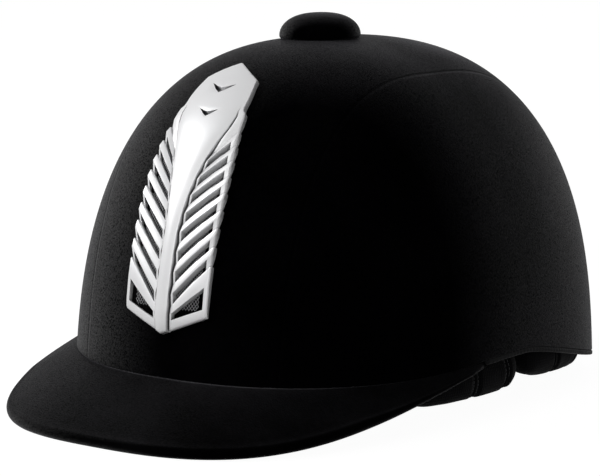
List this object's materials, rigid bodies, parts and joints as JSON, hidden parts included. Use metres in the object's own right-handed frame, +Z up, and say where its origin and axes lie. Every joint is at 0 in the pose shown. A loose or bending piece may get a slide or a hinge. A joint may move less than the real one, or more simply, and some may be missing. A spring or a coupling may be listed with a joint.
{
  "type": "riding helmet",
  "caption": "Velvet-covered riding helmet with a moulded peak, a finned vent strip up the front, a crown button, a dial-fit cradle and a harness folded inside.",
  "frame": {"origin": "on the ground plane that the helmet stands on, under the centre that the dome's plan is drawn from, where the head enters", "axes": "+Z up through the crown, the peak and the wearer's face towards -Y, +X towards the wearer's left"},
  "size_m": [0.214, 0.3049, 0.1744],
  "materials": {
    "velvet": "matte",
    "shell_plastic": "satin",
    "impact_foam": "matte",
    "lining_fabric": "matte",
    "binding": "matte",
    "silver_plastic": "satin",
    "mesh": "matte",
    "black_plastic": "satin",
    "white_plastic": "satin",
    "steel": "satin",
    "webbing": "matte"
  },
  "bodies": {
    "helmet": {"velvet_cover": "velvet", "outer_shell": "shell_plastic", "foam_liner": "impact_foam", "inner_lining": "lining_fabric", "brow_pad": "lining_fabric", "rim_binding": "binding", "peak_core": "shell_plastic", "peak_cover": "velvet", "peak_lining": "lining_fabric", "peak_screws": "steel", "vent_strip": "silver_plastic", "vent_mesh": "mesh", "strip_clamps": "black_plastic", "strip_screws": "steel", "button_core": "shell_plastic", "button_cover": "velvet", "button_screw": "steel", "button_washer": "steel", "dial_base": "black_plastic", "dial_lid": "black_plastic", "lid_screws": "steel", "housing_rivets": "steel", "nape_pad": "lining_fabric", "strap_rivets": "steel", "strap_brackets": "steel", "strap_pins": "steel"},
    "dial": {"dial_knob": "black_plastic", "dial_pinion": "white_plastic", "knob_screw": "steel"},
    "left_arm": {"left_band": "black_plastic", "left_side_pad": "lining_fabric", "left_back_pad": "lining_fabric"},
    "right_arm": {"right_band": "black_plastic", "right_side_pad": "lining_fabric", "right_back_pad": "lining_fabric"},
    "left_harness": {"left_webbing": "webbing", "left_divider": "black_plastic"},
    "right_harness": {"right_webbing": "webbing", "right_divider": "black_plastic"},
    "left_chin_strap": {"left_chin_webbing": "webbing", "chin_pad": "lining_fabric", "buckle_socket": "black_plastic"},
    "right_chin_strap": {"right_chin_webbing": "webbing", "buckle_plug": "black_plastic"},
    "right_slider": {"strap_slider": "black_plastic"}
  },
  "joints": [
    {"name": "dial_turn", "type": "hinge", "parent": "helmet", "child": "dial", "pos_m": [0, 0.115, 0.0205], "axis": [0, 0, -1], "range_deg": [0, 80.3]},
    {"name": "left_arm_slide", "type": "slide", "parent": "helmet", "child": "left_arm", "axis": [-1, 0, 0], "range_m": [0, 0.007]},
    {"name": "right_arm_slide", "type": "slide", "parent": "helmet", "child": "right_arm", "axis": [1, 0, 0], "range_m": [0, 0.00705]},
    {"name": "left_harness_swing", "type": "hinge", "parent": "helmet", "child": "left_harness", "pos_m": [0.0672, 0, 0.046], "axis": [0, -1, 0], "range_deg": [0, 165]},
    {"name": "right_harness_swing", "type": "hinge", "parent": "helmet", "child": "right_harness", "pos_m": [-0.0672, 0, 0.046], "axis": [0, 1, 0], "range_deg": [0, 165]},
    {"name": "left_chin_fold", "type": "hinge", "parent": "left_harness", "child": "left_chin_strap", "pos_m": [0.04295, 0.005, 0.10121], "axis": [0, 1, 0], "range_deg": [0, 165.5]},
    {"name": "right_chin_fold", "type": "hinge", "parent": "right_harness", "child": "right_chin_strap", "pos_m": [-0.04295, 0.005, 0.10121], "axis": [0, -1, 0], "range_deg": [0, 165.5]},
    {"name": "slider_move", "type": "slide", "parent": "right_chin_strap", "child": "right_slider", "axis": [0, 0, -1], "range_m": [-0.01, 0.02]}
  ],
  "couplings": [
    {"joint": "dial_turn", "follows": "left_arm_slide", "rad_per_m": 200},
    {"joint": "right_arm_slide", "follows": "left_arm_slide", "ratio": 1},
    {"joint": "left_chin_fold", "follows": "left_harness_swing", "ratio": 1},
    {"joint": "right_chin_fold", "follows": "right_harness_swing", "ratio": 1}
  ]
}
